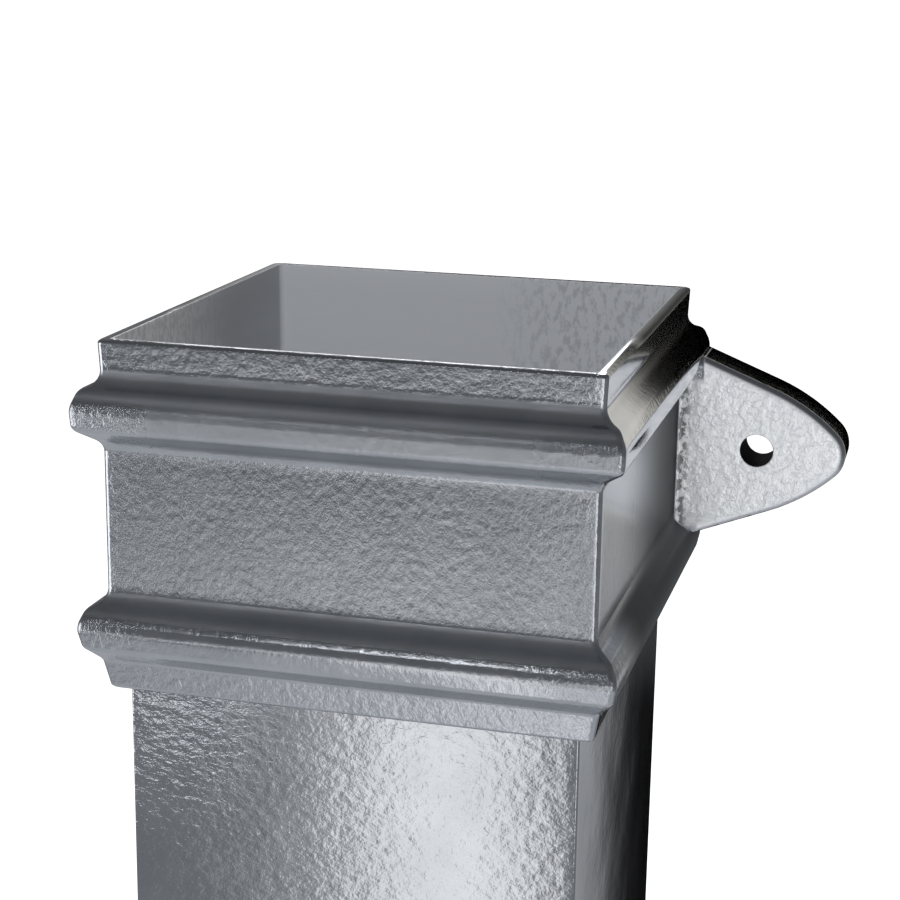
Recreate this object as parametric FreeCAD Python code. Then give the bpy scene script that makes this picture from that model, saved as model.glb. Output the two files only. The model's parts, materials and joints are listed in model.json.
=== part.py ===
import FreeCAD, Part
import math
import os

# Square cast iron downpipe with a moulded, eared socket: one casting, standing on its spigot end.
# The barrel's axis is Z, the face turned to the street is at -Y and the wall side at +Y.
# All sizes are in millimetres.

# Barrel
barrel_width = 100.0
barrel_wall = 4.5
barrel_corner_radius = 1.0
bore_corner_radius = 3.0
effective_length = 610.0
spigot_edge_radius = 0.8

# Inside of the socket, which takes the spigot of the next pipe
joint_clearance = 1.5
core_draft = 0.7
socket_depth = 65.0
socket_corner_radius = 1.5
rim_wall = 2.6
rim_edge_radius = 0.6

# Outside of the socket, from the rim down: neck, bead, flat panel, bead, foot
neck_height = 9.3
upper_bead_height = 13.1
panel_height = 33.9
lower_bead_height = 14.0
foot_height = 6.7
neck_lean = 0.4
panel_recess = 0.6
foot_recess = 0.7
mitre_radius = 1.2
foot_edge_radius = 0.8

# Corners of the two beads: out from the neck's face and down from the top of the bead
bead_projection = 4.8
shoulder_setback = 1.6
upper_shoulder_drop = 0.8
upper_nose_drop = 4.7
upper_heel_setback = 0.3
upper_heel_drop = 9.4
lower_shoulder_drop = 2.2
lower_nose_drop = 5.8
lower_heel_setback = 1.0
lower_heel_drop = 10.6
lower_quirk = 0.6
cove_radius = 3.2
quirk_radius = 2.2
bead_radius = 5.0

# Ears: fixing lugs on both sides, with their backs in the plane of the beads' backs
ear_span = 188.4
ear_thickness = 14.0
ear_drop = 37.8
ear_tip_radius = 7.5
ear_flank_radius = 47.0
ear_tip_angle = 44.0
ear_flank_angle = 21.5
ear_edge_radius = 2.0
ear_root_radius = 3.0
hole_spacing = 146.0
hole_diameter = 8.0
hole_edge_radius = 0.6

# Sizes that follow from those above
barrel_half = barrel_width / 2
mouth_half = barrel_half + joint_clearance
seat_half = mouth_half - core_draft
neck_half = mouth_half + rim_wall
panel_half = neck_half - panel_recess
foot_half = neck_half - foot_recess
bead_half = neck_half + bead_projection
overall_height = effective_length + socket_depth
upper_bead_top = overall_height - neck_height
panel_top = upper_bead_top - upper_bead_height
lower_bead_top = panel_top - panel_height
foot_top = lower_bead_top - lower_bead_height
socket_bottom = foot_top - foot_height
seat_level = overall_height - socket_depth
ear_back = bead_half
ear_front = ear_back - ear_thickness
ear_level = overall_height - ear_drop
upper_nose = upper_bead_top - upper_nose_drop
upper_heel = upper_bead_top - upper_heel_drop
lower_nose = lower_bead_top - lower_nose_drop

# The rounding of the mitres stays within the tightest curve that it crosses
widest_mitre = 0.6 * quirk_radius

UP = FreeCAD.Vector(0, 0, 1)
TO_WALL = FreeCAD.Vector(0, 1, 0)
ORIGIN = FreeCAD.Vector(0, 0, 0)

# Places closer together than this count as one
SAME = 1e-4


def rounded_wire(corners):
    """Closed wire through corners (x, z, radius) in the XZ plane, with tangent arcs in the corners.

    A radius is cut down only where two arcs would meet on one run.
    """
    count = len(corners)
    points = [FreeCAD.Vector(x, 0, z) for x, z, radius in corners]
    half_turns = []
    setbacks = []
    for i, (x, z, radius) in enumerate(corners):
        before = points[i] - points[i - 1]
        after = points[(i + 1) % count] - points[i]
        half_turns.append(before.getAngle(after) / 2)
        setbacks.append(radius * math.tan(half_turns[-1]))
    runs = [(points[(i + 1) % count] - points[i]).Length for i in range(count)]
    room = [min(1, runs[i] / max(setbacks[i] + setbacks[(i + 1) % count], SAME)) for i in range(count)]
    setbacks = [setbacks[i] * min(room[i], room[i - 1]) for i in range(count)]

    edges = []
    joints = []
    for i, point in enumerate(points):
        back = (points[i - 1] - point).normalize()
        ahead = (points[(i + 1) % count] - point).normalize()
        start = point + back * setbacks[i]
        end = point + ahead * setbacks[i]
        if setbacks[i] > 0:
            radius = setbacks[i] / math.tan(half_turns[i])
            centre = point + (back + ahead).normalize() * (radius / math.cos(half_turns[i]))
            middle = centre + (point - centre).normalize() * radius
            edges.append(Part.Arc(start, middle, end).toShape())
        joints.append((start, end))
    for i in range(count):
        leave = joints[i][1]
        reach = joints[(i + 1) % count][0]
        if (reach - leave).Length > SAME:
            edges.append(Part.LineSegment(leave, reach).toShape())
    return Part.Wire(Part.__sortEdges__(edges))


def square_wire(half, corner_radius, level):
    """Level square outline with rounded corners."""
    corner = [(half, -half), (half, half), (-half, half), (-half, -half)]
    wire = rounded_wire([(x, y, corner_radius) for x, y in corner])
    wire.rotate(ORIGIN, FreeCAD.Vector(1, 0, 0), -90)
    wire.translate(UP * level)
    return wire


def square_column(half, corner_radius, low, high):
    """Upright square column with rounded corners."""
    return Part.Face(square_wire(half, corner_radius, low)).extrude(UP * (high - low))


def edges_at(shape, level):
    """Edges of a shape that lie in one level plane."""
    boxes = [(edge, edge.BoundBox) for edge in shape.Edges]
    return [edge for edge, box in boxes if max(abs(box.ZMin - level), abs(box.ZMax - level)) < SAME]


def moulded_block():
    """Outside of the socket: one profile run round the four sides and mitred at the corners."""
    shoulder = bead_half - shoulder_setback
    side = [
        (neck_half, overall_height, 0),
        (neck_half - neck_lean, upper_bead_top, cove_radius),
        (shoulder, upper_bead_top - upper_shoulder_drop, quirk_radius),
        (bead_half, upper_nose, bead_radius),
        (bead_half - upper_heel_setback, upper_bead_top - upper_heel_drop, quirk_radius),
        (panel_half, panel_top, cove_radius),
        (panel_half, lower_bead_top, cove_radius),
        (shoulder, lower_bead_top - lower_shoulder_drop, quirk_radius),
        (bead_half, lower_nose, bead_radius),
        (bead_half - lower_heel_setback, lower_bead_top - lower_heel_drop, quirk_radius),
        (neck_half + lower_quirk, foot_top, quirk_radius),
        (foot_half, socket_bottom, 0),
    ]
    other_side = [(-x, z, radius) for x, z, radius in reversed(side)]
    run = Part.Face(rounded_wire(side + other_side)).extrude(TO_WALL * (2 * bead_half))
    run.translate(TO_WALL * -bead_half)
    cross_run = run.copy()
    cross_run.rotate(ORIGIN, UP, 90)
    block = run.common(cross_run)

    mitres = []
    for edge in block.Edges:
        ends = [vertex.Point for vertex in edge.Vertexes]
        on_diagonal = all(abs(abs(end.x) - abs(end.y)) < SAME for end in ends)
        if on_diagonal and abs(ends[0].z - ends[-1].z) > SAME:
            mitres.append(edge)
    block = block.makeFillet(min(mitre_radius, widest_mitre), mitres)
    block = block.makeFillet(rim_edge_radius, edges_at(block, overall_height))
    return block.makeFillet(foot_edge_radius, edges_at(block, socket_bottom))


def ear():
    """Right-hand ear: a lug with straight flanks that curve in to a round tip, and its fixing hole."""
    tip_angle = math.radians(ear_tip_angle)
    flank_angle = math.radians(ear_flank_angle)
    tip_centre = ear_span / 2 - ear_tip_radius
    arc_shift = ear_flank_radius - ear_tip_radius
    flank_centre_x = tip_centre - arc_shift * math.sin(tip_angle)
    flank_centre_drop = arc_shift * math.cos(tip_angle)

    def on_flank_arc(angle, side):
        x = flank_centre_x + ear_flank_radius * math.sin(angle)
        rise = ear_flank_radius * math.cos(angle) - flank_centre_drop
        return FreeCAD.Vector(x, ear_front, ear_level + side * rise)

    def at_root(side):
        start = on_flank_arc(flank_angle, side)
        rise = (start.x - seat_half) * math.tan(flank_angle)
        return FreeCAD.Vector(seat_half, ear_front, start.z + side * rise)

    middle_angle = (tip_angle + flank_angle) / 2
    tip = FreeCAD.Vector(ear_span / 2, ear_front, ear_level)
    outline = []
    for side in (1, -1):
        outline.append(Part.LineSegment(at_root(side), on_flank_arc(flank_angle, side)).toShape())
        arc_points = [on_flank_arc(angle, side) for angle in (flank_angle, middle_angle, tip_angle)]
        outline.append(Part.Arc(*arc_points).toShape())
    outline.append(Part.Arc(on_flank_arc(tip_angle, 1), tip, on_flank_arc(tip_angle, -1)).toShape())
    root = Part.LineSegment(at_root(1), at_root(-1)).toShape()
    lug = Part.Face(Part.Wire(Part.__sortEdges__(outline + [root]))).extrude(TO_WALL * ear_thickness)

    def in_front(edge):
        box = edge.BoundBox
        in_plane = max(abs(box.YMin - ear_front), abs(box.YMax - ear_front)) < SAME
        return in_plane and box.XMax > seat_half + SAME

    lug = lug.makeFillet(ear_edge_radius, [edge for edge in lug.Edges if in_front(edge)])
    drill_start = FreeCAD.Vector(hole_spacing / 2, ear_front - ear_thickness, ear_level)
    lug = lug.cut(Part.makeCylinder(hole_diameter / 2, 3 * ear_thickness, drill_start, TO_WALL))
    hole_edge = [edge for edge in lug.Edges if in_front(edge) and edge.isClosed()]
    return lug.makeFillet(hole_edge_radius, hole_edge)


def ear_root():
    """Hollow fillet in the corner between the right-hand ear's face and the side panel."""
    side_end = FreeCAD.Vector(panel_half, ear_front - ear_root_radius, lower_nose)
    ear_end = FreeCAD.Vector(panel_half + ear_root_radius, ear_front, lower_nose)
    centre = FreeCAD.Vector(ear_end.x, side_end.y, lower_nose)
    hollow = centre + FreeCAD.Vector(-1, 1, 0).normalize() * ear_root_radius
    inside = FreeCAD.Vector(seat_half, ear_back, lower_nose)
    edges = [
        Part.Arc(side_end, hollow, ear_end).toShape(),
        Part.makePolygon([
            ear_end,
            FreeCAD.Vector(ear_end.x, inside.y, lower_nose),
            inside,
            FreeCAD.Vector(inside.x, side_end.y, lower_nose),
            side_end,
        ]),
    ]
    return Part.Face(Part.Wire(edges)).extrude(UP * (upper_heel - lower_nose))


def back_plate():
    """Flat back of the socket between the beads, in one plane with the backs of the ears."""
    corner = FreeCAD.Vector(-panel_half, 0, lower_nose)
    return Part.makeBox(2 * panel_half, ear_back, upper_nose - lower_nose, corner)


def barrel():
    """Outside of the square pipe, from the spigot end up into the socket."""
    column = square_column(barrel_half, barrel_corner_radius, 0, seat_level)
    return column.makeFillet(spigot_edge_radius, edges_at(column, 0))


def waterway():
    """Everything that is hollow: the socket's drafted inside and the bore below its seat."""
    mouth = square_wire(mouth_half, socket_corner_radius, overall_height)
    seat = square_wire(seat_half, socket_corner_radius, seat_level)
    socket = Part.makeLoft([seat, mouth], True, True)
    bore = square_column(barrel_half - barrel_wall, bore_corner_radius, 0, overall_height)
    return socket.fuse(bore)


right_ear = ear().fuse(ear_root())
left_ear = right_ear.mirror(ORIGIN, FreeCAD.Vector(1, 0, 0))
casting = moulded_block().multiFuse([barrel(), right_ear, left_ear, back_plate()])
downpipe = casting.cut(waterway()).removeSplitter().Solids[0]

os.makedirs("parts", exist_ok=True)
downpipe.exportStep("parts/downpipe.step")
print("downpipe", downpipe.ShapeType, downpipe.isValid(), downpipe.Volume, downpipe.BoundBox)
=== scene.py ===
import json
import math

import bmesh
import bpy
from mathutils import Matrix, Vector, noise


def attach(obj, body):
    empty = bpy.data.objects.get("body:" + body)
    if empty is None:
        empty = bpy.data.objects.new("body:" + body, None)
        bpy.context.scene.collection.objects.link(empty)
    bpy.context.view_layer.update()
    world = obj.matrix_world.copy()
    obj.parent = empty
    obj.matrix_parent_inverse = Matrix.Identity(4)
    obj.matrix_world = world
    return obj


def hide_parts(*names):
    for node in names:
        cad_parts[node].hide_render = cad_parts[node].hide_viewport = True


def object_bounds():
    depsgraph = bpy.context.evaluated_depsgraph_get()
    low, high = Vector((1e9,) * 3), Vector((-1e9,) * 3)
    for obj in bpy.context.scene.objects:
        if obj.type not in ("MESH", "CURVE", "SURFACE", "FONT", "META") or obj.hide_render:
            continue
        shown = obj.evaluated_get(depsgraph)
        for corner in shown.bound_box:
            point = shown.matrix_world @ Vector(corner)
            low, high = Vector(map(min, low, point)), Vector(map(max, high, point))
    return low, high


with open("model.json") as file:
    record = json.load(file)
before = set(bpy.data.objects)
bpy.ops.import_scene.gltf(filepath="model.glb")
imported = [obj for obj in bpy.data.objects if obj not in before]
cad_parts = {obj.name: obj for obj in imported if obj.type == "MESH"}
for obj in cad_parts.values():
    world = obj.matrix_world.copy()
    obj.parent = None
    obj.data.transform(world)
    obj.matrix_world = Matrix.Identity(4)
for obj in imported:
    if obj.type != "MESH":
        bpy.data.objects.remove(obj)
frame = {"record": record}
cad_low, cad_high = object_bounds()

# Barrel and socket: a square grey iron pipe whose top swells into a moulded socket for the next pipe.
# Sand cast in one; the same wall section runs round all four sides and is mitred at the corners.
MM = 0.001
mounts = {mount["name"]: mount for mount in frame["record"]["mounts"]}
rim_level = cad_high.z
wall_plane = mounts["wall_face"]["pos_m"][1]
barrel_half = 50 * MM
bore_half = 45.5 * MM
seat_half = 50.8 * MM
mouth_half = 51.5 * MM
neck_half = 54.1 * MM
neck_root_half = neck_half - 0.4 * MM
panel_half = 53.5 * MM
nose_half = wall_plane
shoulder_half = nose_half - 1.6 * MM
upper_heel_half = nose_half - 0.3 * MM
lower_heel_half = nose_half - 1 * MM
foot_top_half = neck_half + 0.6 * MM
foot_half = 53.4 * MM
neck_drop = 9.3 * MM
upper_shoulder_drop = 10.1 * MM
upper_nose_drop = 14 * MM
upper_heel_drop = 18.7 * MM
panel_top_drop = 22.4 * MM
panel_foot_drop = 56.3 * MM
lower_shoulder_drop = 58.5 * MM
lower_nose_drop = 62.1 * MM
seat_drop = 65 * MM
lower_heel_drop = 66.9 * MM
foot_top_drop = 70.3 * MM
socket_drop = 77 * MM
rim_edge_radius = 0.6 * MM
cove_radius = 3.2 * MM
quirk_radius = 2.2 * MM
bead_radius = 5 * MM
foot_edge_radius = 0.8 * MM
spigot_edge_radius = 0.5 * MM
wall_section = [
    (neck_half, 0, rim_edge_radius),
    (neck_root_half, neck_drop, cove_radius),
    (shoulder_half, upper_shoulder_drop, quirk_radius),
    (nose_half, upper_nose_drop, bead_radius),
    (upper_heel_half, upper_heel_drop, quirk_radius),
    (panel_half, panel_top_drop, cove_radius),
    (panel_half, panel_foot_drop, cove_radius),
    (shoulder_half, lower_shoulder_drop, quirk_radius),
    (nose_half, lower_nose_drop, bead_radius),
    (lower_heel_half, lower_heel_drop, quirk_radius),
    (foot_top_half, foot_top_drop, quirk_radius),
    (foot_half, socket_drop, foot_edge_radius),
    (barrel_half, socket_drop, 0),
    (barrel_half, rim_level, spigot_edge_radius),
    (bore_half, rim_level, 0),
    (bore_half, seat_drop, 0),
    (seat_half, seat_drop, 0),
    (mouth_half, 0, 0),
]
section_steps = 5
socket_row = 1.5 * MM
barrel_row = 2.2 * MM
columns = 48
widest_face = 20 * MM
foot_level = rim_level - socket_drop
seat_level = rim_level - seat_drop
mitre_radius = 1.2 * MM
barrel_corner_radius = 0.6 * MM
bore_corner_radius = 3 * MM
socket_corner_radius = 1.5 * MM
corner_steps = 4
touching = 0.001 * MM
level_slack = 0.01 * MM
face_slack = 0.1 * MM


def everything(bm):
    return bm.verts[:] + bm.edges[:] + bm.faces[:]


def new_verts(result):
    """The vertices at the end of a spin, or those that an extrusion made."""
    made = result["geom_last" if "geom_last" in result else "geom"]
    return [item for item in made if isinstance(item, bmesh.types.BMVert)]


def mesh_object(name, bm):
    """Puts a finished bmesh into the scene as an object."""
    bmesh.ops.recalc_face_normals(bm, faces=bm.faces[:])
    mesh = bpy.data.meshes.new(name)
    bm.to_mesh(mesh)
    bm.free()
    made = bpy.data.objects.new(name, mesh)
    bpy.context.scene.collection.objects.link(made)
    return made


shell = bmesh.new()
corners = [shell.verts.new((half, 0, rim_level - drop)) for half, drop, radius in wall_section]
for start, end in zip(corners, corners[1:] + corners[:1]):
    shell.edges.new((start, end))
for corner, (half, drop, radius) in zip(corners, wall_section):
    if radius > 0:
        before, after = (edge.other_vert(corner).co - corner.co for edge in corner.link_edges)
        setback = radius / math.tan(before.angle(after) / 2)
        bmesh.ops.bevel(shell, geom=[corner], offset=setback, offset_type="OFFSET", segments=section_steps,
                        profile=0.5, affect="VERTICES", material=-1)

# Rows of faces along the outside, close enough together for the skin of the casting
for edge in shell.edges[:]:
    middle = (edge.verts[0].co + edge.verts[1].co) / 2
    cuts = int(edge.calc_length() / (socket_row if middle.z > foot_level else barrel_row))
    outside_socket = middle.x > neck_half - MM
    outside_barrel = middle.x > barrel_half - MM and middle.z < foot_level
    if cuts > 0 and (outside_socket or outside_barrel):
        bmesh.ops.subdivide_edges(shell, edges=[edge], cuts=cuts)

# One side drawn out, cut off at the diagonals, and set round the axis four times
drawn = bmesh.ops.extrude_edge_only(shell, edges=shell.edges[:])
bmesh.ops.translate(shell, verts=shell.verts[:], vec=(0, -nose_half, 0))
bmesh.ops.translate(shell, verts=new_verts(drawn), vec=(0, 2 * nose_half, 0))
for diagonal in ((-1, 1, 0), (-1, -1, 0)):
    bmesh.ops.bisect_plane(shell, geom=everything(shell), plane_co=(0, 0, 0), plane_no=diagonal,
                           clear_outer=True)
bmesh.ops.spin(shell, geom=everything(shell), cent=(0, 0, 0), axis=(0, 0, 1), angle=math.radians(270),
               steps=3, use_duplicate=True)
bmesh.ops.remove_doubles(shell, verts=shell.verts[:], dist=touching)
bmesh.ops.recalc_face_normals(shell, faces=shell.faces[:])


def mitre_edges(lowest, highest, nearest, farthest):
    """Upright edges on the diagonals, between two levels and two distances from the axis."""
    found = []
    for edge in shell.edges:
        ends = [vert.co for vert in edge.verts]
        on_diagonal = all(abs(abs(end.x) - abs(end.y)) < touching for end in ends)
        upright = abs(ends[0].z - ends[1].z) > level_slack
        half = sum(abs(end.x) for end in ends) / 2
        level = sum(end.z for end in ends) / 2
        if on_diagonal and upright and lowest < level < highest and nearest < half < farthest:
            found.append(edge)
    return found


for lowest, highest, nearest, farthest, radius in [
    (foot_level, rim_level, mouth_half + MM, nose_half + MM, mitre_radius),
    (0, foot_level, barrel_half - MM, barrel_half + MM, barrel_corner_radius),
    (0, rim_level, 0, bore_half + face_slack, bore_corner_radius),
    (seat_level, rim_level, seat_half - face_slack, mouth_half + face_slack, socket_corner_radius),
]:
    bmesh.ops.bevel(shell, geom=mitre_edges(lowest, highest, nearest, farthest), offset=radius,
                    offset_type="OFFSET", segments=corner_steps, profile=0.5, affect="EDGES", material=-1)
runs = [edge for edge in shell.edges if edge.calc_length() > widest_face
        and abs(edge.verts[0].co.z - edge.verts[1].co.z) < level_slack]
bmesh.ops.subdivide_edges(shell, edges=runs, cuts=columns)
casting = mesh_object("downpipe_casting", shell)

# Ears and back: two fixing lugs at the sides of the socket, each with a hole for a nail or screw,
# and a plain flat back between the beads. They are cast with the pipe, flush with each other at the wall.
ear_level = mounts["ear_holes"]["pos_m"][2]
hole_reach = mounts["ear_holes"]["dims"]["spacing_x_mm"] / 2 * MM
hole_radius = mounts["ear_holes"]["dims"]["hole_r_mm"] * MM
ear_reach = 94.2 * MM
ear_thickness = 14 * MM
ear_front = wall_plane - ear_thickness
ear_tip_radius = 7.5 * MM
ear_flank_radius = 47 * MM
ear_tip_angle = math.radians(44)
ear_flank_angle = math.radians(21.5)
ear_edge_radius = 2 * MM
ear_root_radius = 1.2 * MM
ear_root_depth = 2 * MM
hole_edge_radius = 0.25 * MM
hole_edge_steps = 3
hole_sides = 48
arc_steps = 12
in_wall = 52.4 * MM
ear_grid = 1.5 * MM
grid_half_height = 24 * MM
back_recess = 0.02 * MM


def combine(target, tool, operation):
    """Adds a closed tool mesh to a target, or cuts it out, and uses the tool up."""
    boolean = target.modifiers.new(operation, "BOOLEAN")
    boolean.operation = operation
    boolean.solver = "EXACT"
    boolean.object = tool
    old_mesh = target.data
    target.data = bpy.data.meshes.new_from_object(target.evaluated_get(bpy.context.evaluated_depsgraph_get()))
    target.modifiers.clear()
    bpy.data.meshes.remove(old_mesh)
    bpy.data.objects.remove(tool)


# Half of the ear's outline, from the wall of the socket out to the tip, then mirrored about its middle
tip_centre = Vector((ear_reach - ear_tip_radius, ear_front, ear_level))
arc_shift = ear_flank_radius - ear_tip_radius
tip_way = Vector((math.sin(ear_tip_angle), 0, math.cos(ear_tip_angle)))
flank_way = Vector((math.sin(ear_flank_angle), 0, math.cos(ear_flank_angle)))
flank_centre = tip_centre - arc_shift * tip_way
flank_start = flank_centre + ear_flank_radius * flank_way
root_rise = (flank_start.x - in_wall) * math.tan(ear_flank_angle)

ear = bmesh.new()
middle = ear.verts.new((in_wall, ear_front, ear_level))
root = ear.verts.new((in_wall, ear_front, flank_start.z + root_rise))
flank = ear.verts.new(flank_start)
ear.edges.new((middle, root))
ear.edges.new((root, flank))
arc = bmesh.ops.spin(ear, geom=[flank], cent=flank_centre, axis=(0, 1, 0),
                     angle=ear_tip_angle - ear_flank_angle, steps=arc_steps)
bmesh.ops.spin(ear, geom=new_verts(arc), cent=tip_centre, axis=(0, 1, 0),
               angle=math.radians(90) - ear_tip_angle, steps=arc_steps)
bmesh.ops.mirror(ear, geom=everything(ear), axis="Z", merge_dist=-1,
                 matrix=Matrix.Translation((0, 0, -ear_level)))
bmesh.ops.remove_doubles(ear, verts=ear.verts[:], dist=level_slack)
bmesh.ops.contextual_create(ear, geom=ear.edges[:])
thick = bmesh.ops.extrude_face_region(ear, geom=ear.faces[:])
bmesh.ops.translate(ear, verts=new_verts(thick), vec=(0, ear_thickness, 0))
bmesh.ops.recalc_face_normals(ear, faces=ear.faces[:])
front_rim = [edge for edge in ear.edges if all(vert.co.y < ear_front + level_slack for vert in edge.verts)
             and any(vert.co.x > in_wall + level_slack for vert in edge.verts)]
bmesh.ops.bevel(ear, geom=front_rim, offset=ear_edge_radius, offset_type="OFFSET", segments=corner_steps,
                profile=0.5, affect="EDGES", material=-1)
right_ear = mesh_object("right_ear", ear)

drill = bmesh.new()
at_hole = Matrix.Translation((hole_reach, ear_front + ear_thickness / 2, ear_level))
bmesh.ops.create_cone(drill, cap_ends=True, segments=hole_sides, radius1=hole_radius, radius2=hole_radius,
                      depth=2 * ear_thickness, matrix=at_hole @ Matrix.Rotation(math.radians(90), 4, "X"))
combine(right_ear, mesh_object("drill", drill), "DIFFERENCE")

# Hollow fillet where the ear meets the side of the socket
fillet = bmesh.new()
fillet_low = rim_level - lower_nose_drop
inner_side = fillet.verts.new((in_wall, ear_front - ear_root_radius, fillet_low))
outer_side = fillet.verts.new((panel_half, ear_front - ear_root_radius, fillet_low))
fillet.edges.new((inner_side, outer_side))
hollow = bmesh.ops.spin(fillet, geom=[outer_side], cent=outer_side.co + Vector((ear_root_radius, 0, 0)),
                        axis=(0, 0, 1), angle=math.radians(-90), steps=arc_steps)
arc_end = new_verts(hollow)[0]
deep_end = fillet.verts.new(arc_end.co + Vector((0, ear_root_depth, 0)))
deep_side = fillet.verts.new((in_wall, deep_end.co.y, fillet_low))
fillet.edges.new((arc_end, deep_end))
fillet.edges.new((deep_end, deep_side))
fillet.edges.new((deep_side, inner_side))
bmesh.ops.contextual_create(fillet, geom=fillet.edges[:])
raised = bmesh.ops.extrude_face_region(fillet, geom=fillet.faces[:])
bmesh.ops.translate(fillet, verts=new_verts(raised), vec=(0, 0, lower_nose_drop - upper_heel_drop))
combine(right_ear, mesh_object("ear_root", fillet), "UNION")

# The hole's worn edge, a grid over the ear for the skin of the casting, and the second ear
ear = bmesh.new()
ear.from_mesh(right_ear.data)
hole_centre = Vector((hole_reach, ear_front, ear_level))
hole_rim = [edge for edge in ear.edges
            if all(abs((vert.co - hole_centre).length - hole_radius) < face_slack / 2 for vert in edge.verts)]
bmesh.ops.bevel(ear, geom=hole_rim, offset=hole_edge_radius, offset_type="OFFSET", segments=hole_edge_steps,
                profile=0.5, affect="EDGES", material=-1)
for axis, start, end in [
    (Vector((1, 0, 0)), in_wall, ear_reach),
    (Vector((0, 0, 1)), ear_level - grid_half_height, ear_level + grid_half_height),
]:
    for step in range(1, int((end - start) / ear_grid)):
        cut = axis * (start + step * ear_grid)
        bmesh.ops.bisect_plane(ear, geom=everything(ear), plane_co=cut, plane_no=axis)
bmesh.ops.mirror(ear, geom=everything(ear), axis="X", merge_dist=-1)
lugs = mesh_object("ears", ear)
bpy.data.objects.remove(right_ear)

back = bmesh.new()
back_plane = wall_plane - back_recess
back_height = lower_nose_drop - upper_nose_drop
back_level = rim_level - (lower_nose_drop + upper_nose_drop) / 2
bmesh.ops.create_cube(back, size=1)
bmesh.ops.scale(back, verts=back.verts[:], vec=(2 * panel_half, back_plane - in_wall, back_height))
bmesh.ops.translate(back, verts=back.verts[:], vec=(0, (back_plane + in_wall) / 2, back_level))
combine(lugs, mesh_object("flat_back", back), "UNION")
combine(casting, lugs, "UNION")

# Skin of the casting: the sand of the mould leaves shallow waves and dimples in every face and the arrises
# a little uneven. Only the end that it stands on is cut flat.
wave_size = 16 * MM
wave_depth = 0.012 * MM
dimple_size = 5 * MM
dimple_depth = 0.004 * MM
weld = 0.005 * MM
sharp_angle = math.radians(38)
flat_face_weight = 90

skin = bmesh.new()
skin.from_mesh(casting.data)
bmesh.ops.remove_doubles(skin, verts=skin.verts[:], dist=weld)
bmesh.ops.dissolve_degenerate(skin, edges=skin.edges[:], dist=weld)
skin.normal_update()
for vert in skin.verts:
    wave = wave_depth * noise.noise(vert.co / wave_size)
    dimple = dimple_depth * noise.noise(vert.co / dimple_size)
    if vert.co.z > face_slack:
        vert.co += vert.normal * (wave + dimple)
skin.to_mesh(casting.data)
skin.free()
casting.data.shade_smooth()
casting.data.set_sharp_from_angle(angle=sharp_angle)
shading = casting.modifiers.new("flat_face_shading", "WEIGHTED_NORMAL")
shading.keep_sharp = True
shading.weight = flat_face_weight

# Finish: bare grey iron, cleaned to a shine. The barrel keeps the faint dimples of the sand, the flat bands
# of the socket their grain and the ears their creases. The beads are rubbed to satin. Painted shade darkens
# the flanks towards the back, the rim behind, the roots of the ears, the creases on the ears and the holes,
# and the ears' faces are painted pale as a painted reflection. The waterway keeps the dull, stained skin that
# it was cast with, and the front of its left wall is painted pale as a painted light.
iron_dark = (0.43, 0.45, 0.485, 1)
iron_light = (0.48, 0.50, 0.535, 1)
waterway_grey = (0.43, 0.445, 0.47, 1)
waterway_dark = (0.33, 0.34, 0.36, 1)
# The next colour is painted light, for the front of the waterway's left wall
waterway_painted_light = (0.95, 0.955, 0.96, 1)
# The next colour is a painted reflection: the ears' faces painted pale
ear_painted_reflection = (0.66, 0.675, 0.695, 1)
# The next colour is painted shade, black for the inside of the ears' holes
hole_painted_shade = (0.02, 0.02, 0.02, 1)
# The next grey is painted shade, for the flanks, the rim behind and the roots of the ears
shade_grey = (0.07, 0.072, 0.076, 1)
polish = 0.09
side_polish = 0.05
band_polish = 0.16
bead_polish = 0.15
ear_polish = 0.22
waterway_polish = 0.55
grain_lean = math.radians(-38)


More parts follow.
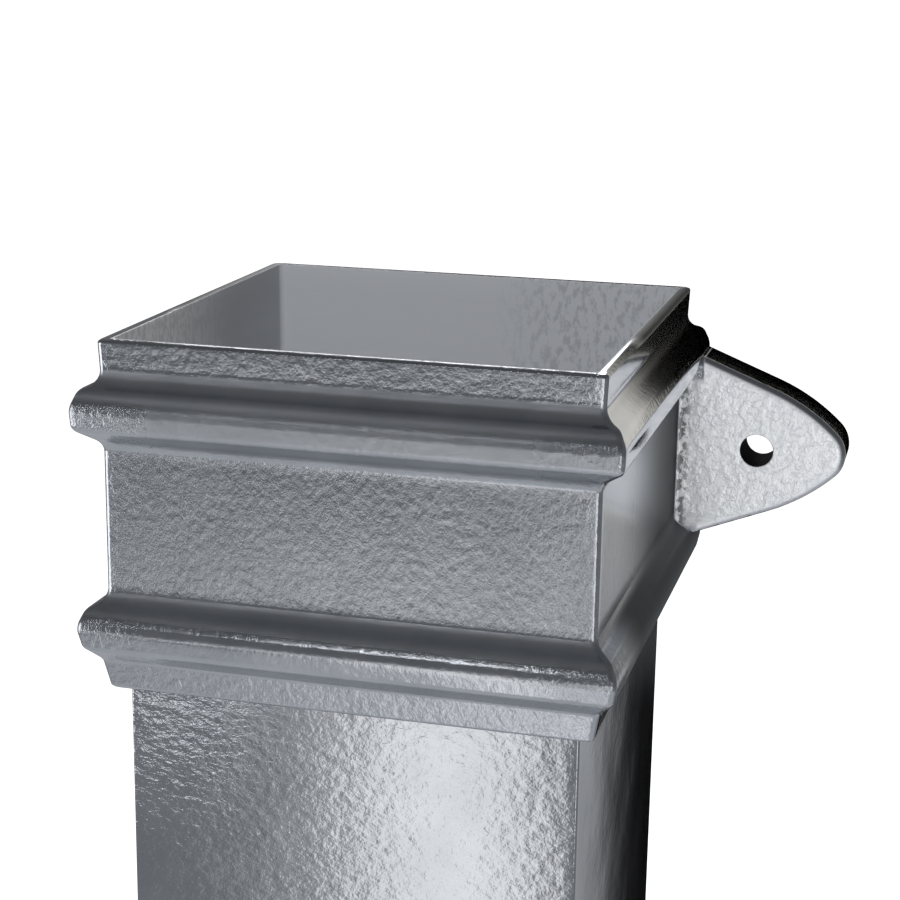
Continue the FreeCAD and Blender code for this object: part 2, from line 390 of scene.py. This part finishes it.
class Value:
    """A shader socket that Python's operators work on: each operator adds one Math node."""

    def __init__(self, tree, socket=None):
        self.tree = tree
        self.socket = socket

    def node(self, kind, settings=None, sockets=None, output=0):
        """Adds a node with its settings and its sockets' values or links, and gives one of its outputs."""
        made = self.tree.nodes.new(kind)
        for name, value in (settings or {}).items():
            setattr(made, name, value)
        for name, value in (sockets or {}).items():
            if isinstance(value, Value):
                self.tree.links.new(value.socket, made.inputs[name])
            else:
                made.inputs[name].default_value = value
        return Value(self.tree, made.outputs[output]) if made.outputs else made

    def math(self, operation, *values):
        return self.node("ShaderNodeMath", {"operation": operation}, dict(enumerate(values)))

    def __add__(self, other):
        return self.math("ADD", self, other)

    def __radd__(self, other):
        return self.math("ADD", other, self)

    def __sub__(self, other):
        return self.math("SUBTRACT", self, other)

    def __rsub__(self, other):
        return self.math("SUBTRACT", other, self)

    def __mul__(self, other):
        return self.math("MULTIPLY", self, other)

    def __rmul__(self, other):
        return self.math("MULTIPLY", other, self)

    def __truediv__(self, other):
        return self.math("DIVIDE", self, other)

    def __abs__(self):
        return self.math("ABSOLUTE", self)

    def larger(self, other):
        return self.math("MAXIMUM", self, other)

    def step(self, low, high):
        """0 below low, 1 above high, smooth in between; a low above high turns it round."""
        return self.node("ShaderNodeMapRange", {"interpolation_type": "SMOOTHSTEP"},
                         {"Value": self, "From Min": low, "From Max": high})

    def between(self, start, full_from, full_to, end):
        """1 from full_from to full_to, falling off smoothly to 0 at the start and at the end."""
        return self.step(start, full_from) * self.step(end, full_to)

    def axes(self):
        """The three numbers of a vector."""
        first = self.node("ShaderNodeSeparateXYZ", None, {"Vector": self})
        return [Value(self.tree, output) for output in first.socket.node.outputs]

    def stretched(self, scale, rotation=(0, 0, 0)):
        """A place turned and scaled, for a pattern that is."""
        return self.node("ShaderNodeMapping", {"vector_type": "POINT"},
                         {"Vector": self, "Rotation": rotation, "Scale": scale})

    def mottle(self, scale, detail, roughness):
        """Uneven values around a half, by place."""
        return self.node("ShaderNodeTexNoise", None,
                         {"Vector": self, "Scale": scale, "Detail": detail, "Roughness": roughness})

    def blend(self, colour, other):
        """The first colour where this value is 0 and the other where it is 1."""
        return self.node("ShaderNodeMix", {"data_type": "RGBA"},
                         {"Factor": self, 6: colour, 7: other}, output=2)


iron = bpy.data.materials.new("grey_cast_iron")
iron.use_nodes = True
iron.node_tree.nodes.clear()
iron_tree = Value(iron.node_tree)
place = iron_tree.node("ShaderNodeTexCoord", output="Object")
facing = iron_tree.node("ShaderNodeTexCoord", output="Normal")

# Places on the casting in millimetres, and what lies there: the bands by their drop below the rim
x, y, z = [axis / MM for axis in place.axes()]
across = abs(x)
spread = across.larger(abs(y))
drop = rim_level / MM - z
on_neck = drop.step(9.5, 8)
on_panel = drop.between(22, 24, 55, 57)
on_foot = drop.between(70, 71, 76.9, 77.2)
on_barrel = drop.step(76.9, 77.2)
on_bead = 1 - on_neck - on_panel - on_foot - on_barrel
upper_bead = on_bead * drop.step(40, 30)
in_cove = drop.between(5.9, 6.9, 11.5, 13) + drop.between(54.5, 56, 58.8, 60)
inner_half = 47.7 + 4.1 * drop.step(74, 68)
in_waterway = (inner_half - spread).step(-0.2, 0.2)

# The ears: the rough root in the corner, the face, the edge behind it and the hole
at_root = across.step(53.6, 54.2) * y.step(42.8, 43.6) * drop.between(20, 22, 57, 60)
on_ear = across.step(59, 59.6).larger(at_root)
on_edge = on_ear * y.step(44.95, 45.5)
ear_face = on_ear * (1 - on_edge)
# The crumbled root in the corner is rough, and is also darkened in patches with painted shade below
crumbled_and_shaded_root = at_root * across.step(57.5, 55) * y.step(45.6, 45.1)
hole_wall = hole_radius / MM
from_hole = across - hole_reach / MM
above_hole = z - ear_level / MM
hole_distance = from_hole.math("SQRT", from_hole * from_hole + above_hole * above_hole)
# The wall of the hole, which gets a black painted shade and a dull polish
in_hole = hole_distance.step(hole_wall + 0.2, hole_wall + 0.05) * on_edge

# The flanks of the pipe, which are smoother than the front, and the painted shade on them: darker towards
# the back of the panel, along the lower bead's side and on the top of the rim behind the front
facing_ahead = abs(facing.axes()[1]).step(0.3, 0.6)
beside = across.step(51.3, 51.7).larger(across.step(48.8, 49.6) * on_barrel)
on_side = beside * (1 - facing_ahead) * (1 - on_ear)
on_front = 1 - on_side
side_bead = on_side * on_bead * drop.step(50, 56)
# Masks for painted shade on the flanks and the rim behind; they also make the polish duller there
dull_and_shaded_side = on_side * on_panel * y.step(-35, 35) + 0.9 * side_bead * y.step(-52, -25)
dull_and_shaded_rim = beside * drop.step(1.2, 0.6) * y.step(-25, -10)

# Relief in millimetres: dimples on the barrel, grain on the bands, folds and creases on the ears
dimples = place.stretched((0.6, 0.6, 1)).mottle(540, 3, 0.55)
grain = place.stretched((1, 1, 0.75), rotation=(0, grain_lean, 0)).mottle(650, 4, 0.62)
folds = place.mottle(430, 3, 0.55)
creases = abs(folds - 0.5).step(0, 0.05)
flaked = on_barrel * x.step(-14, -34) * drop.step(132, 86)
speckled = on_bead * across.step(34, 56)
dimpled = 0.02 + 0.05 * on_barrel + 0.07 * flaked + 0.07 * on_neck + 0.10 * on_foot + 0.03 * on_bead
grained = 0.03 + 0.10 * on_panel + 0.07 * on_neck + 0.12 * on_foot
grained = grained + 0.04 * on_bead + 0.06 * upper_bead + 0.16 * speckled
relief = (dimples * dimpled + grain * grained) * (1 - on_ear)
relief = relief + creases * (0.02 * on_ear) + folds * (0.28 * on_ear)
relief = relief + grain * (0.16 * on_ear + 0.25 * crumbled_and_shaded_root)
relief = relief * (0.06 + 0.94 * on_front + 0.1 * on_side * on_panel + 0.3 * side_bead)
relief = relief * (1 - 0.7 * in_waterway) * (1 - 0.97 * on_edge) * (1 - 0.8 * in_cove)
bump = iron_tree.node("ShaderNodeBump", None, {"Height": relief, "Strength": 1.0, "Distance": MM})

# Colour: cloudy grey; the ears' faces painted pale as a painted reflection, with painted shade in their
# creases;
# painted shade on the flanks, at the ears' roots and in the holes; stained in the waterway, with painted
# light on the front of its left wall
clouds = place.mottle(75, 4, 0.6)
# Painted shade: the flanks towards the back, the rim behind and the crumbled roots of the ears
painted_shade = dull_and_shaded_side + dull_and_shaded_rim + 0.8 * crumbled_and_shaded_root * grain.step(0.53, 0.47)
outer_colour = clouds.step(0.3, 0.7).blend(iron_dark, iron_light)
# The ears' faces are painted pale as a painted reflection, with painted shade along their creases
outer_colour = (ear_face * (0.45 + 0.55 * creases)).blend(outer_colour, ear_painted_reflection)
# Painted shade: the wall of the hole is painted black
outer_colour = in_hole.blend(outer_colour, hole_painted_shade)
outer_colour = painted_shade.math("MINIMUM", painted_shade, 1).blend(outer_colour, shade_grey)
stains = place.stretched((1, 1, 0.5)).mottle(620, 5, 0.7)
dark_stains = stains.step(0.47, 0.60) * x.step(2, 24)
# Painted light: the front of the waterway's left wall is painted pale
painted_lit_wall = x.step(-40, -49) * y.step(22, -35) * (0.6 + 0.4 * stains.step(0.45, 0.55))
inner_colour = painted_lit_wall.blend(dark_stains.blend(waterway_grey, waterway_dark), waterway_painted_light)
colour = in_waterway.blend(outer_colour, inner_colour)

# Polish: how rough each place is left
front_shine = polish + (band_polish - polish) * (on_panel + on_foot) + (bead_polish - polish) * on_bead
front_shine = front_shine + 0.05 * (clouds - 0.5) + 0.3 * in_cove
front_shine = front_shine + 0.16 * upper_bead - 0.14 * speckled * upper_bead
side_shine = side_polish + 0.13 * on_panel + 0.03 * on_neck + 0.13 * side_bead
side_shine = side_shine + 0.4 * dull_and_shaded_side + 0.3 * dull_and_shaded_rim
shine = (front_shine * on_front + side_shine * on_side) * (1 - on_ear)
shine = shine + ear_polish * ear_face + side_polish * on_edge + 0.1 * crumbled_and_shaded_root + 0.8 * in_hole
roughness = shine + (waterway_polish - shine) * in_waterway
metal = 1 - 0.85 * in_waterway - 0.45 * ear_face
surface = iron_tree.node("ShaderNodeBsdfPrincipled", None, {
    "Base Color": colour, "Metallic": metal, "Roughness": roughness, "Normal": bump})
iron_tree.node("ShaderNodeOutputMaterial", None, {"Surface": surface})
casting.data.materials.clear()
casting.data.materials.append(iron)
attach(casting, "root")
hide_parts("downpipe")

# Floor: a plain white paper sweep, flat under the pipe and turned up into a wall far away all round.
# It shines white by itself, so that it takes no shadow and shows no edge.
flat_radius = 3.5
turn_radius = 1.5
wall_height = 3
turn_steps = 12
round_steps = 64
paper_white = (0.8, 0.8, 0.8, 1)
sweep = bmesh.new()
centre = sweep.verts.new((0, 0, 0))
edge_of_flat = sweep.verts.new((flat_radius, 0, 0))
sweep.edges.new((centre, edge_of_flat))
turned_up = bmesh.ops.spin(sweep, geom=[edge_of_flat], cent=(flat_radius, 0, turn_radius), axis=(0, 1, 0),
                           angle=math.radians(-90), steps=turn_steps)
top_of_turn = new_verts(turned_up)[0]
wall_top = sweep.verts.new(top_of_turn.co + Vector((0, 0, wall_height)))
sweep.edges.new((top_of_turn, wall_top))
bmesh.ops.spin(sweep, geom=everything(sweep), cent=(0, 0, 0), axis=(0, 0, 1), angle=math.radians(360),
               steps=round_steps, use_merge=True)
bmesh.ops.remove_doubles(sweep, verts=sweep.verts[:], dist=MM)
floor = mesh_object("floor", sweep)
floor.data.shade_smooth()
paper = bpy.data.materials.new("white_paper")
paper.use_nodes = True
paper_shader = paper.node_tree.nodes["Principled BSDF"]
paper_shader.inputs["Base Color"].default_value = paper_white
paper_shader.inputs["Roughness"].default_value = 0.9
paper_shader.inputs["Specular IOR Level"].default_value = 0
paper_shader.inputs["Emission Color"].default_value = (1, 1, 1, 1)
paper_shader.inputs["Emission Strength"].default_value = 1.0
paper.cycles.emission_sampling = "NONE"
floor.data.materials.append(paper)
floor.visible_glossy = False
floor.visible_diffuse = False
floor.visible_shadow = False

# Studio: a dark room that glows grey from below, and soft boxes whose reflections draw the forms.
# A dark gap behind and to the right lets the right-hand faces fall off to black.
cool_white = (0.97, 0.99, 1.02, 1)
warm_white = (1.03, 0.99, 0.90, 1)
studio = bpy.data.worlds.new("studio")
bpy.context.scene.world = studio
studio.use_nodes = True
studio.node_tree.nodes.clear()
studio_tree = Value(studio.node_tree)
east, north, height = studio_tree.node("ShaderNodeTexCoord", output="Generated").axes()
turn = east.math("ARCTAN2", east, north)
overhead = height.step(0.75, 0.05)
low = height.step(-0.16, -0.36)
deep = height.step(-0.45, -0.75)
right_side = turn.between(0.164, 0.186, 0.22, 0.32) * height.step(-0.12, -0.20)
upper_ring = north.step(0.930, 0.946) * east.step(-0.20, -0.12) * height.step(-0.20, -0.12)
lit_side = right_side.larger(upper_ring)
doorway = 0.85 * height.step(-0.20, -0.27) + 0.15 * height.step(-0.33, -0.37)
doorway = doorway * turn.between(-0.02, 0.02, 0.164, 0.186)
dark_gap = doorway.larger(north.step(0.9600, 0.9635))
glow = 0.115 + 0.06 * overhead + 0.11 * low + 0.34 * deep
glow = glow + lit_side * (0.10 + 0.60 * height.step(-0.42, -0.25))
glow = glow * (1 - dark_gap)
warmth = lit_side * height.step(-0.35, -0.2)
cool = studio_tree.node("ShaderNodeBackground", None, {"Color": cool_white, "Strength": glow})
warm = studio_tree.node("ShaderNodeBackground", None, {"Color": warm_white, "Strength": glow})
surroundings = studio_tree.node("ShaderNodeMixShader", None, {0: warmth, 1: cool, 2: warm})
studio_tree.node("ShaderNodeOutputWorld", None, {"Surface": surroundings})


def softbox(name, place, width, height, brightness, aim=None, soft=(0.1, 0.1), colour=(1, 1, 1)):
    """A panel light with edges that fade. Where no aim is given, it faces straight back."""
    light = bpy.data.lights.new(name, "AREA")
    light.shape = "RECTANGLE"
    light.size = width
    light.size_y = height
    light.energy = 4 * brightness * width * height
    light.color = colour
    light.use_nodes = True
    light.node_tree.nodes.clear()
    tree = Value(light.node_tree)
    sideways, upwards = tree.node("ShaderNodeNewGeometry", output="Parametric").axes()[:2]
    fade = sideways.between(0, soft[0], 1 - soft[0], 1) * upwards.between(0, soft[1], 1 - soft[1], 1)
    shine = tree.node("ShaderNodeEmission", None, {"Color": (1, 1, 1, 1), "Strength": fade})
    tree.node("ShaderNodeOutputLight", None, {"Surface": shine})
    lamp = bpy.data.objects.new(name, light)
    lamp.location = place
    lamp.visible_camera = False
    lamp.rotation_mode = "QUATERNION"
    straight_back = (place[0], 0, place[2])
    lamp.rotation_quaternion = (Vector(place) - Vector(aim or straight_back)).to_track_quat("Z", "Y")
    bpy.context.scene.collection.objects.link(lamp)
    return lamp


softbox("barrel_box", (-0.231, -1.0, 0.02), 0.24, 0.52, 1.0, soft=(0.36, 0.05), colour=(1, 0.98, 0.945))
softbox("barrel_fill", (-0.32, -1.0, 0.02), 0.20, 0.52, 0.25, soft=(0.4, 0.10))
softbox("sparkle_strip", (-0.43, -1.0, 0.24), 0.14, 0.06, 1.6, soft=(0.15, 0.2))
softbox("panel_box", (-0.32, -1.0, 0.325), 0.56, 0.13, 0.27, soft=(0.3, 0.3))
softbox("foot_box", (-0.15, -1.0, -0.42), 0.34, 0.40, 1.05, aim=(-0.15, 0, -0.2), soft=(0.4, 0.3),
        colour=(1, 0.985, 0.96))
softbox("ear_box", (-0.01, -1.0, 0.375), 0.14, 0.26, 0.9, soft=(0.12, 0.12), colour=(1, 0.985, 0.96))
softbox("ear_root_box", (0.155, -1.0, 0.385), 0.13, 0.24, 2.2, soft=(0.3, 0.2), colour=(1, 0.97, 0.93))
softbox("bead_strip", (-0.235, -1.0, 0.96), 0.22, 0.03, 6.5, aim=(-0.1, 0, 0.62))
softbox("left_box", (-0.85, -0.5, 0.50), 0.9, 0.6, 1.5, aim=(0, 0, 0.62))
softbox("corner_box", (0.45, -0.85, 0.40), 0.35, 0.5, 1.1, aim=(0.05, -0.05, 0.62))
softbox("back_box", (-0.45, 1.5, 1.11), 0.6, 0.24, 3.0, aim=(-0.45, 0, 0.7), soft=(0.05, 0.05))
top_box = softbox("top_box", (0.15, -1.1, 1.8), 0.6, 0.6, 20.5, aim=(0, 0, 0.66))
top_box.visible_glossy = False
ear_fill = softbox("ear_fill", (0.80, -0.75, 0.56), 0.3, 0.3, 38, aim=(0.075, 0, 0.637))
ear_fill.visible_glossy = False

# Camera: close to the socket on an 80 mm lens, above it and to its right, looking down at the front and
# the right-hand ear.
view_yaw = 0.261
view_pitch = 0.252
view_roll = -0.015
view_place = Vector((0.12257, -0.42884, rim_level + 0.08249))
focal_pixels = 2000.5
frame_pixels = 900
forward = Matrix.Rotation(view_yaw, 3, "Z") @ Vector((0, math.cos(view_pitch), -math.sin(view_pitch)))
level_right = Vector((math.cos(view_yaw), math.sin(view_yaw), 0))
level_up = level_right.cross(forward)
right = level_right * math.cos(view_roll) - level_up * math.sin(view_roll)
up = level_right * math.sin(view_roll) + level_up * math.cos(view_roll)
camera_data = bpy.data.cameras.new("camera")
camera_data.sensor_width = 36
camera_data.lens = focal_pixels / frame_pixels * camera_data.sensor_width
camera_data.clip_start = 0.01
camera = bpy.data.objects.new("camera", camera_data)
camera.matrix_world = Matrix.Translation(view_place) @ Matrix((right, up, -forward)).transposed().to_4x4()
bpy.context.scene.collection.objects.link(camera)
bpy.context.scene.camera = camera
bpy.context.scene.view_settings.view_transform = "Standard"
